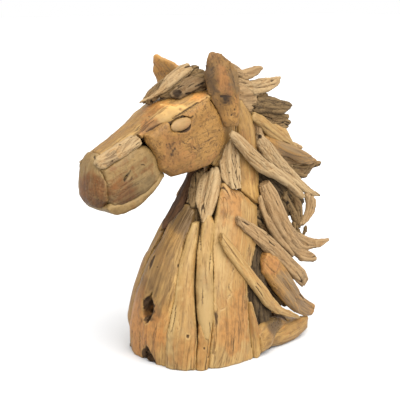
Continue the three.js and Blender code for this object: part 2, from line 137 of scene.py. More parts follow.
class Wood:
    """A piece of wood being carved. Its grain holds, for each point, how far it is across the piece's
    broad side, through its thickness and along its length, in metres. The small whole numbers that the
    methods add to its seed keep their patterns from falling alike."""

    def __init__(self, name, source, grid, seed):
        self.name, self.grid, self.seed = name, grid, seed
        self.mesh = even_skin(source, grid)
        self.spots = numbers(self.mesh.vertices, "co", 3).astype(float)
        self.pairs = numbers(self.mesh.edges, "vertices", 2, np.int32)
        self.count = len(self.spots)
        self.around = np.maximum(np.bincount(self.pairs.ravel(), minlength=self.count), 1)
        self.marks = {mark: np.zeros(self.count) for mark in MARKS}
        self.lay_grain()

    def average(self, values):
        """The mean over each point's neighbours."""
        one, two = self.pairs.T
        flat = values.reshape(self.count, -1)
        sums = [
            np.bincount(one, column[two], self.count) + np.bincount(two, column[one], self.count)
            for column in flat.T
        ]
        return (np.stack(sums, 1) / self.around[:, None]).reshape(values.shape)

    def spread(self, values, passes):
        """The values, blurred over the neighbours."""
        for _ in range(passes):
            values = (values + self.average(values)) / 2
        return values

    def facing(self):
        """Puts the points into the mesh, and gives the direction that each one faces."""
        self.mesh.vertices.foreach_set("co", self.spots.astype(np.float32).ravel())
        self.mesh.update()
        return numbers(self.mesh.vertex_normals, "vector", 3).astype(float)

    def lay_grain(self):
        """Draws the piece's middle line, which may bend, and measures each point from it."""
        middle = self.spots.mean(0)
        axes = np.linalg.svd(self.spots - middle, full_matrices=False)[2]
        run = (self.spots - middle) @ axes[0]
        stations = int(np.clip(np.ptp(run) / STATION, *STATIONS))
        edges = np.linspace(run.min(), run.max(), stations + 1)
        spot = np.clip(np.digitize(run, edges) - 1, 0, stations - 1)
        held = np.maximum(np.bincount(spot, minlength=stations), 1)
        line = np.stack([np.bincount(spot, column, stations) / held for column in self.spots.T], 1)
        line[1:-1] = (line[:-2] + 2 * line[1:-1] + line[2:]) / 4
        mids = (edges[:-1] + edges[1:]) / 2
        centre = np.stack([np.interp(run, mids, column) for column in line.T], 1)
        past = run - np.clip(run, mids[0], mids[-1])
        slope = np.gradient(line, mids, axis=0)
        way = np.stack([np.interp(run, mids, column) for column in slope.T], 1)
        way /= np.linalg.norm(way, axis=1)[:, None]
        centre += way * past[:, None]
        off = self.spots - centre
        broad = axes[1] - way * (way @ axes[1])[:, None]
        broad /= np.linalg.norm(broad, axis=1)[:, None]
        thick = np.cross(way, broad)
        self.way = way
        self.grain = np.stack([(off * broad).sum(1), (off * thick).sum(1), run - run.min()], 1)
        self.length = np.ptp(run)

    def pattern(self, size, stretch=1.0, seed=0):
        """Noise with features of that size, drawn out along the grain."""
        return noise(self.grain / np.array([size, size, size * stretch]), self.seed * 31 + seed)

    def press(self, depth):
        """Moves each point in along its facing, or out where the depth is below 0."""
        self.spots -= self.facing() * depth[:, None]

    def stain(self, mark, amount):
        """Adds to a mark of every point."""
        self.marks[mark] = np.clip(self.marks[mark] + amount, -1, 1)

    def hollow(self, depth, shade=1.0):
        """Presses the points in and darkens them: painted shade in the dent."""
        self.press(depth)
        self.stain("hollow", np.clip(depth / FULL_HOLLOW, 0, 1) * shade)

    def soften(self, broad, edges):
        """Rounds the facets of the broad faces, then the sharp edges a little."""
        bend = np.linalg.norm(self.average(self.spots) - self.spots, axis=1) / self.grid
        firm = self.spread(step(bend, 0.07, 0.16), 3)
        share = (0.5 * (1 - np.clip(firm * 1.6, 0, 1)))[:, None]
        for _ in range(broad):
            self.spots += share * (self.average(self.spots) - self.spots)
        for _ in range(edges):
            for amount in (0.5, -0.3):
                self.spots += amount * (self.average(self.spots) - self.spots)

    def plump(self, amount):
        """Grows the whole piece, so that it meets its neighbours again."""
        self.press(np.full(self.count, -amount))

    def swell(self, size, depth, stretch=2.5, seed=1):
        """Gentle waves in the surface."""
        self.press(depth * self.pattern(size, stretch, seed))

    def furrows(self, size, depth, stretch, shade):
        """Narrow weathered grooves along the grain."""
        drift = self.pattern(size * 4, 3, 42) * size * 1.6
        lanes = self.grain + np.stack([drift, drift, np.zeros(self.count)], 1)
        lanes = noise(lanes / np.array([size, size, size * stretch]), self.seed * 31 + 2)
        deep = (1 - np.clip(np.abs(lanes) * 1.5, 0, 1)) ** 2
        self.hollow(depth * deep, shade)

    def lines(self, size, stretch, seed, width):
        """1 along wandering lines of that width, drawn out along the grain, and 0 between them."""
        scale = np.array([size, size, size * stretch])
        key = self.seed * 31 + seed
        here = noise(self.grain / scale, key)
        slopes = [noise((self.grain + shift) / scale, key) - here for shift in MM * np.eye(3)[:2]]
        slope = np.hypot(*slopes) / MM
        away = np.abs(here) / np.maximum(slope, 0.4 / size)
        return (1 - step(away, width * 0.25, width)) * step(slope * size, 0.5, 1.0)

    def checks(self, size, depth, width, amount, stretch, seed=3):
        """Long drying cracks along the grain, in some places only."""
        there = step(self.pattern(size * 1.6, 2.5, seed + 50), 0.45 - amount, 0.65 - amount)
        self.hollow(depth * self.lines(size, stretch, seed, width) * there, 1.3)

    def ledges(self, size, height, stretch, seed=12, steps=3, shade=0.0):
        """Split faces: flats at different depths, with sharp steps between them along the grain."""
        level = self.pattern(size, stretch, seed) * steps
        low = np.floor(level)
        rise = step(level - low, 0.42, 0.58)
        self.press(height * (low + rise))
        # painted shade along the steps between the flats
        self.stain("hollow", shade * rise * (1 - rise) * 4)

    def ragged(self, reach, size=4 * MM):
        """Splinters the ends: fibres stop short by up to the reach."""
        fibres = self.grain.copy()
        fibres[:, 2] *= 0.12
        short = np.clip(0.55 + 0.75 * noise(fibres / size, self.seed * 31 + 7), 0, 1.2) * reach
        run = self.grain[:, 2]
        for sign, from_end in ((1, run), (-1, self.length - run)):
            near = 1 - step(from_end, 0, reach * 3)
            self.spots += self.way * (sign * near * short)[:, None]

    def nibble(self, size, depth):
        """Chips and wears the outer edges."""
        edge = self.spread(np.clip(self.bulge(), 0, 1), 2)
        chips = step(self.pattern(size, 1.6, 9), -0.2, 0.5)
        self.press(depth * edge * chips)

    def bulge(self):
        """Above 0 on outer edges and ridges, below 0 in hollows, from -1 to 1."""
        gap = (self.spots - self.average(self.spots)) * self.facing()
        return np.clip(self.spread(gap.sum(1) / self.grid * 9, 1), -1, 1)

    def near(self, place, radius, stretch=1.0, rough=0.25):
        """1 at a place, falling to 0 at the radius, drawn out along the grain, with an uneven rim."""
        away = self.spots - np.array(place)
        run = (away * self.way).sum(1)[:, None]
        away = away - self.way * run * (1 - 1 / stretch)
        uneven = 1 + rough * noise(self.spots / (radius * 0.5), self.seed + 5)
        return 1 - step(np.linalg.norm(away, axis=1) / radius * uneven, 0.35, 1)

    def pit(self, place, radius, depth, stretch=1.0, rough=0.25, shade=1.2):
        """A hole or a dent. With a shade of 0 it isn't darker than the wood round it."""
        self.hollow(depth * self.near(place, radius, stretch, rough), shade)

    def patch(self, mark, place, radius, amount, stretch=1.0):
        """Colours one place: hollow blackens, tone greys (below 0) or pales, warm reddens, shade darkens."""
        self.stain(mark, amount * self.near(place, radius, stretch, 0.6))

    def grit(self, place, radius, size, depth):
        """A rough, pitted place."""
        there = self.near(place, radius)
        deep = np.clip(noise(self.spots / size, self.seed + 17), 0, 1)
        self.hollow(depth * there * deep, 0.35)

    def knot(self, place, radius, height):
        """A knot: rings round a dark heart, with the grain flowing past it."""
        away = np.linalg.norm(self.spots - np.array(place), axis=1)
        there = np.exp(-((away / radius) ** 2))
        rings = np.cos(away / radius * 9) * there
        self.press(-height * (there * 0.6 + rings * 0.4))
        self.stain("hollow", there * 0.55 + np.clip(-rings, 0, 1) * 0.3)
        self.grain[:, :2] += (there * radius * 0.8)[:, None] * np.sign(self.grain[:, :2])

    def crack(self, start, end, width, depth, shade=1.4):
        """One crack between two places."""
        start, end = np.array(start), np.array(end)
        line = end - start
        share = np.clip(((self.spots - start) @ line) / (line @ line), 0, 1)
        wander = noise(self.spots / (8 * MM), self.seed + 11)[:, None] * 1.2 * MM
        away = np.linalg.norm(self.spots + wander - start - share[:, None] * line, axis=1)
        thin = np.sin(np.clip(share, 0.02, 0.98) * np.pi) ** 0.5
        self.hollow(depth * (1 - step(away / (width * thin), 0.2, 1)), shade)

    def cut(self, place, looking, rough=0.8 * MM):
        """Breaks the wood off flat at a place: the new end looks that way."""
        looking = np.array(looking) / np.linalg.norm(looking)
        torn = rough * noise(self.spots / (4 * MM), self.seed + 23)
        past = (self.spots - np.array(place)) @ looking + torn
        self.spots -= np.clip(past, 0, None)[:, None] * looking

    def flake(self, place, radius, depth, stretch=2.0):
        """A place where the smooth face has split off, so that its fibres show."""
        there = step(self.near(place, radius, stretch, 0.3), 0.25, 0.4)
        steps = self.pattern(9 * MM, 9, 61)
        self.press(there * (depth + 0.5 * MM * step(steps, -0.1, 0.1)))
        self.stain("wear_and_highlight", 0.5 * there * step(self.pattern(7 * MM, 9, 62), 0, 0.4))

    def socket(self, place, wide, high, depth):
        """An oval recess for an eye, in a face that looks sideways."""
        cosine, sine = EYE_TILT
        aside, back, up = (self.spots - np.array(place)).T
        reach = np.hypot((back * cosine - up * sine) / wide, (back * sine + up * cosine) / high)
        this_side = np.abs(aside) < 30 * MM
        self.hollow(depth * (1 - step(reach, 0.9, 1.04)) * this_side, 1.4)

    def finish(self, slot):
        """Ends the carving: the mesh with its marks becomes a piece of the sculpture."""
        self.spots[:, 2] = np.maximum(self.spots[:, 2], 0)
        bulge = self.bulge()
        # painted shade: points that face down are darker
        self.stain("shade", 0.4 * step(-self.facing()[:, 2], 0.0, 0.9))
        # lighter on outer edges and ridges: partly rubbed wear, partly a painted highlight
        self.stain("wear_and_highlight", np.clip(bulge * 1.3 - 0.15, 0, 1))
        # painted shade in the hollows and creases of the surface
        self.stain("hollow", np.clip(-bulge * 0.8 - 0.1, 0, 0.7))
        for mark, values in self.marks.items():
            made = self.mesh.attributes.new(mark, "FLOAT", "POINT")
            made.data.foreach_set("value", values.astype(np.float32))
        made = self.mesh.attributes.new("grain", "FLOAT_VECTOR", "POINT")
        made.data.foreach_set("vector", self.grain.astype(np.float32).ravel())
        self.mesh.materials.clear()
        self.mesh.materials.append(FINISHES[slot])
        piece = bpy.data.objects.new(self.name, self.mesh)
        bpy.context.scene.collection.objects.link(piece)
        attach(piece, "root")
        return piece


# ---- finishes ----
class Value:
    """A number in a material. Sums and products of values add Math nodes."""

    def __init__(self, material, socket):
        self.material, self.socket = material, socket

    def math(self, operation, *others):
        inputs = dict(enumerate([self, *others]))
        return self.material.node("Math", {"operation": operation}, inputs)

    def __add__(self, other):
        return self.math("ADD", other)

    __radd__ = __add__

    def __mul__(self, other):
        return self.math("MULTIPLY", other)

    __rmul__ = __mul__

    def __sub__(self, other):
        return self.math("SUBTRACT", other)

    def __rsub__(self, other):
        return self.math("MULTIPLY_ADD", -1.0, other)

    def above(self, low, high):
        """0 below low, 1 above high, and a smooth rise between them."""
        settings = {"interpolation_type": "SMOOTHSTEP"}
        inputs = {"Value": self, "From Min": low, "From Max": high}
        return self.material.node("MapRange", settings, inputs)


class Material:
    """A material and the nodes in it."""

    def __init__(self, name):
        self.made = bpy.data.materials.new(name)
        self.made.use_nodes = True
        self.tree = self.made.node_tree
        self.tree.nodes.clear()

    def node(self, kind, settings=None, inputs=None, output=0):
        """Adds a node: its settings come first, then the numbers or links of its sockets."""
        made = self.tree.nodes.new("ShaderNode" + kind)
        for name, value in (settings or {}).items():
            setattr(made, name, value)
        for name, value in (inputs or {}).items():
            if isinstance(value, Value):
                self.tree.links.new(value.socket, made.inputs[name])
            else:
                made.inputs[name].default_value = value
        return Value(self, made.outputs[output]) if made.outputs else None

    def mark(self, name, output=2):
        """A mark or the grain, as the carving left it at each point."""
        return self.node("Attribute", {"attribute_name": name}, output=output)

    def place(self):
        """Where a point is in the row's frame."""
        return self.node("TexCoord", output=3)

    def cloud(self, vector, across, along, detail=2.0, roughness=0.5, distortion=0.0):
        """Smooth random values round 0.5, with so many features a metre across the grain and along it."""
        sizes = {0: vector, 1: (across, across, along)}
        scaled = self.node("VectorMath", {"operation": "MULTIPLY"}, sizes)
        inputs = {"Vector": scaled, "Scale": 1.0, "Detail": detail}
        inputs |= {"Roughness": roughness, "Distortion": distortion}
        return self.node("TexNoise", {}, inputs)

    def blend(self, share, first, second, kind="MIX"):
        """The first colour, with that share of the second over it."""
        settings = {"data_type": "RGBA", "blend_type": kind, "clamp_factor": True}
        return self.node("Mix", settings, {0: share, 6: first, 7: second}, 2)


def tint(seen):
    """A colour as seen in plain light, made the paint's own linear colour."""
    linear = [((part / 255 + 0.055) / 1.055) ** 2.4 for part in seen]
    linear[2] *= BLUE_SHARE
    return (*[round(part * PAINT_SHARE, 4) for part in linear], 1.0)


def wood(
    name, colours, figure=0.5, streak=0.5, pores=0.5, matt=0.6, relief=0.4, patina=0.5, veins=0.5, curl=0.1
):
    """Wood with rings, fibres, pores and fine cracks that follow the grain, and marks of wear. The colours
    are the base, light, dark, grey and warm ones. Of the numbers, figure is for rings, streak for fibres,
    patina for grey patches, veins for cracks and curl for swirls; relief is the bump's depth in mm."""
    mat = Material(name)
    base, light, dark, grey, warm = [tint(colour) for colour in colours]
    grain = mat.mark("grain", 1)
    hollow, wear_and_highlight, tone, warmth, shade = [mat.mark(mark) for mark in MARKS]
    place = mat.place()
    bend = mat.cloud(grain, 45, 9, 2.0) - 0.5
    drift = mat.node("CombineXYZ", {}, {"X": bend * 0.016, "Y": bend * 0.016})
    shifted = mat.node("VectorMath", {"operation": "ADD"}, {0: grain, 1: drift})
    broad = mat.cloud(shifted, 30, 6, 3.0)
    rings = (mat.cloud(shifted, 24, 2.4, 2.0) * 60.0).math("SINE") * 0.5 + 0.5
    fibre = mat.cloud(shifted, 420, 14, 4.0, 0.6)
    streaks = mat.cloud(shifted, 150, 6, 4.0, 0.62)
    pore = mat.cloud(grain, 500, 90, 1.0).above(0.62, 0.72)
    lines = mat.cloud(shifted, 60, 3.5, 3.0) - 0.5
    there = mat.cloud(grain, 24, 8, 2.0).above(0.44, 0.62)
    cracks = (1.0 - lines.math("ABSOLUTE").above(0.004, 0.026)) * there
    patches = mat.cloud(place, 17, 9, 4.0, 0.6, 0.6) + (streaks - 0.5) * 0.5
    blush = mat.cloud(place, 29, 17, 4.0, 0.65, 0.5) + (streaks - 0.5) * 0.4
    mottle = mat.cloud(place, 120, 80, 3.0, 0.65, 0.3)
    curls = mat.cloud(place, 56, 44, 3.0, 0.6, 1.2) - 0.5
    curls = (1.0 - curls.math("ABSOLUTE").above(0.0, 0.045)) * mottle.above(0.38, 0.55)

    def broken(mark):
        """A mark whose rim runs out into the streaks of the wood."""
        return (mark + (streaks - 0.5) * 1.3).above(0.1, 0.8) * mark.above(0.03, 0.3)

    layers = [
        (patches.above(0.53, 0.62) * patina, grey),
        (blush.above(0.54, 0.64) * 0.6, warm),
        (mottle.above(0.5, 0.72) * 0.35, mat.blend(0.35, base, dark)),
        ((1.0 - mottle.above(0.3, 0.46)) * 0.4, light),
        (rings * figure * 0.6, mat.blend(0.5, base, dark)),
        (streaks.above(0.54, 0.7) * streak, mat.blend(0.7, base, dark)),
        ((1.0 - streaks.above(0.32, 0.46)) * streak, light),
        (fibre.above(0.5, 0.72) * streak * 1.1, dark),
        ((1.0 - fibre.above(0.28, 0.46)) * streak * 0.8, light),
        (curls * curl, mat.blend(0.75, base, dark)),
        (pore * pores, dark),
        (broken(warmth) * 0.9, mat.blend(mottle.above(0.4, 0.65) * 0.5, warm, dark)),
        (broken(tone * -1.0) * 0.85, mat.blend(streaks.above(0.4, 0.62) * 0.6, grey, dark)),
        (broken(tone) * 0.85, light),
        # lighter on ridges and edges: partly rubbed wear, partly a painted highlight
        (wear_and_highlight * 0.55, light),
        (cracks * veins, dark),
        # painted shade in cracks, pits and hollows, and a knot's dark heart
        (hollow.above(0.05, 1.0) * 0.92, mat.blend(0.6, dark, DEEP_SHADE_COLOUR)),
    ]
    colour = mat.blend(broad.above(0.4, 0.62) * 0.8, base, light)
    for share, over in layers:
        colour = mat.blend(share, colour, over)
    # the shade mark multiplies the colour down: painted shade on undersides, in gaps and low on the muzzle
    # and cheeks, and a piece's own darker colour elsewhere; below 0 it lightens, in places to lift a shadow
    # as painted light
    colour = mat.blend(1.0, colour, 1.0 - shade * 0.7, "MULTIPLY")
    height = fibre * 0.4 + streaks * 0.8 + rings * 0.18 * figure - cracks * 1.6 - pore * pores * 0.5
    bump = mat.node("Bump", {}, {"Strength": 1.0, "Distance": relief * MM, "Height": height})
    rough = (fibre - 0.5) * 0.25 + hollow * 0.25 + matt
    sockets = {"Base Color": colour, "Roughness": rough, "Normal": bump, "Specular IOR Level": 0.3}
    shader = mat.node("BsdfPrincipled", {}, sockets)
    mat.node("OutputMaterial", {}, {"Surface": shader})
    return mat.made


# The five colours of each finish, as seen in plain light, and its amounts.
PAINTS = {
    "honey_teak": (
        [(199, 150, 84), (223, 179, 114), (112, 76, 40), (160, 124, 80), (208, 142, 76)],
        dict(figure=0.8, streak=0.5, matt=0.52, relief=0.9, veins=0.6),
    ),
    "golden_teak": (
        [(212, 164, 99), (233, 193, 132), (128, 90, 50), (178, 148, 104), (214, 152, 86)],
        dict(figure=0.7, streak=0.5, matt=0.52, relief=0.9, veins=0.6),
    ),
    "burl_teak": (
        [(182, 130, 65), (208, 156, 88), (98, 64, 32), (166, 138, 104), (206, 142, 82)],
        dict(figure=0.45, streak=0.2, matt=0.5, patina=0.2, veins=0.1, relief=0.7, curl=1.0),
    ),
    "muzzle_teak": (
        [(172, 136, 85), (196, 161, 110), (100, 72, 40), (146, 120, 80), (148, 87, 32)],
        dict(figure=0.3, streak=0.15, matt=0.55, patina=0.45, veins=0.1, relief=0.6, curl=0.35),
    ),
    "pale_driftwood": (
        [(200, 160, 114), (230, 197, 154), (106, 76, 48), (168, 138, 106), (200, 152, 96)],
        dict(figure=0.2, streak=0.55, matt=0.78, relief=1.0, veins=0.6),
    ),
    "grey_driftwood": (
        [(190, 148, 102), (216, 179, 136), (96, 68, 44), (158, 128, 96), (192, 142, 88)],
        dict(figure=0.25, streak=0.55, matt=0.78, relief=1.0, veins=0.6),
    ),
    "dark_root": (
        [(128, 98, 64), (182, 148, 104), (50, 35, 22), (108, 86, 62), (136, 90, 52)],
        dict(figure=0.2, streak=0.7, matt=0.85, relief=1.1, veins=0.8),
    ),
    "red_brown_wood": (
        [(92, 60, 34), (124, 84, 52), (40, 24, 14), (80, 62, 46), (110, 64, 36)],
        dict(figure=0.3, streak=0.4, matt=0.7),
    ),
    "pale_eye_inlay": (
        [(196, 154, 100), (218, 176, 122), (150, 106, 66), (190, 150, 110), (220, 160, 108)],
        dict(figure=0.2, streak=0.15, pores=0.2, matt=0.5, veins=0.1),
    ),
}
FINISHES = {name: wood(name, colours, **amounts) for name, (colours, amounts) in PAINTS.items()}


# ---- how each kind of wood is shaped ----
def sanded(piece):
    """Sanded and waxed slabs: soft waves, chipped and rubbed edges and long drying cracks."""
    piece.soften(30, 1)
    piece.swell(55 * MM, 2.4 * MM, 2.5)
    piece.swell(20 * MM, 0.7 * MM, 4, 4)
    piece.nibble(16 * MM, 1.6 * MM)
    piece.ledges(30 * MM, 0.5 * MM, 7, steps=2)
    piece.checks(24 * MM, 2.6 * MM, 1.9 * MM, 0.12, 8)
    piece.checks(14 * MM, 1.2 * MM, 1.4 * MM, 0.0, 8, 5)
    piece.ragged(2 * MM, 7 * MM)
    piece.plump(0.8 * MM)


def burl(piece):
    """Sanded burl: smooth, with faint ripples."""
    piece.soften(40, 1)
    piece.swell(40 * MM, 1.4 * MM, 1.2)
    piece.swell(14 * MM, 0.5 * MM, 1.4, 4)
    piece.nibble(16 * MM, 1.2 * MM)
    piece.furrows(13 * MM, 0.25 * MM, 2.2, shade=0.15)
    piece.ledges(17 * MM, 0.35 * MM, 1.3, 12, 3, 0.12)
    piece.plump(0.7 * MM)


def weathered(piece):
    """Raw driftwood: split in steps along its grain, cracked, with splintered ends."""
    piece.soften(3, 1)
    piece.swell(34 * MM, 2.2 * MM, 2.5)
    piece.nibble(11 * MM, 1.0 * MM)
    piece.ledges(22 * MM, 1.3 * MM, 4, 33, 2, 0.1)
    piece.ledges(12 * MM, 0.8 * MM, 7, 12, 3, 0.15)
    piece.ledges(5.5 * MM, 0.35 * MM, 12, 21, 3, 0.1)
    piece.checks(12 * MM, 2.4 * MM, 1.6 * MM, 0.15, 9)
    piece.ragged(6 * MM)
    piece.plump(1.6 * MM)


def split(piece):
    """Split wood: flatter faces with fewer steps, and torn ends."""
    piece.soften(6, 1)
    piece.swell(40 * MM, 2.0 * MM, 2.5)
    piece.nibble(12 * MM, 0.8 * MM)
    piece.ledges(20 * MM, 1.3 * MM, 6, 33, 2, 0.1)
    piece.ledges(10 * MM, 0.6 * MM, 9, 12, 2, 0.1)
    piece.checks(14 * MM, 2.0 * MM, 1.6 * MM, 0.05, 9)
    piece.ragged(4 * MM)
    piece.plump(1.6 * MM)


def rooty(piece):
    """Rough roots: lumpy and deeply cracked, with ragged ends."""
    piece.soften(3, 1)
    piece.swell(16 * MM, 2.6 * MM, 1.8)
    piece.ledges(10 * MM, 1.3 * MM, 4, 12, 3, 0.2)
    piece.ledges(5 * MM, 0.6 * MM, 7, 21, 3, 0.2)
    piece.checks(10 * MM, 2.8 * MM, 1.8 * MM, 0.3, 7)
    piece.ragged(9 * MM)
    piece.plump(1.7 * MM)


def inlaid(piece):
    """Small smooth pieces let into a recess."""
    piece.soften(12, 1)
    piece.swell(9 * MM, 0.3 * MM, 1.5)
    piece.plump(0.4 * MM)


# How each finish is shaped, and the grid of its skin.
SHAPING = {
    "honey_teak": (sanded, 2.3 * MM),
    "golden_teak": (sanded, 2.3 * MM),
    "burl_teak": (burl, 2.0 * MM),
    "muzzle_teak": (burl, 2.0 * MM),
    "pale_driftwood": (weathered, 1.6 * MM),
    "grey_driftwood": (weathered, 1.7 * MM),
    "dark_root": (rooty, 1.7 * MM),
    "red_brown_wood": (weathered, 2.2 * MM),
    "pale_eye_inlay": (inlaid, 1.2 * MM),
    "split_teak": (split, 1.8 * MM),
}
# Nodes shaped unlike the rest of their finish.
SPLIT = ("lock_slat", "lock_facet", "lock_wing", "lock_polished", "lock_right_low", "lock_right_wing")
SHAPED_AS = {"nose_bridge": "burl_teak", **dict.fromkeys(SPLIT, "split_teak")}
# A seed of its own, for a node whose cracks would fall badly otherwise.
SEEDS = {"flank_left": 77}
# Nodes inside, at the back or on the plainer side, with a coarser grid.
COARSE = {
    "back_slab": 3.2 * MM, "crest": 2.8 * MM, "poll_block": 2.8 * MM, "rear_inner_left": 2.4 * MM,
    "cheek_right": 2.2 * MM, "flank_right": 2.6 * MM, "shoulder_right": 2.6 * MM,
    "rear_right": 2.8 * MM, "neck_panel_right": 2.8 * MM,
}

# The line where the chest slab meets the slab behind it, marked on both as a groove darkened with painted
# shade.
SHOULDER_SEAM = [
    ("crack", (0.044, -0.094, 0.224), (0.06, -0.124, 0.15), 2.8 * MM, 1.2 * MM),
    ("crack", (0.057, -0.12, 0.17), (0.064, -0.14, 0.085), 2.8 * MM, 1.2 * MM),
    ("crack", (0.064, -0.138, 0.1), (0.058, -0.147, 0.03), 2.8 * MM, 1.2 * MM),
]
# Pieces that are darker (above 0) or lighter all over than the rest of their kind. On rear_inner_left,
# root_behind, lock_lumpy and inner_low, which lie back in gaps behind other pieces, the darkening is painted
# shade.
SHADES = {
    "rear_inner_left": 0.9, "root_behind": 0.7, "root_below": 0.4, "lock_lumpy": 0.35,
    "throat_slat": -0.1, "lock_facet": 0.12, "inner_low": 0.5, "neck_fill": 0.25,
    "throat_fill": 0.3, "ear_left": 0.38, "ear_right": -0.6, "forelock_cross": 0.6,
    "lock_polished": -0.12, "cheek_slat": -0.08,
}
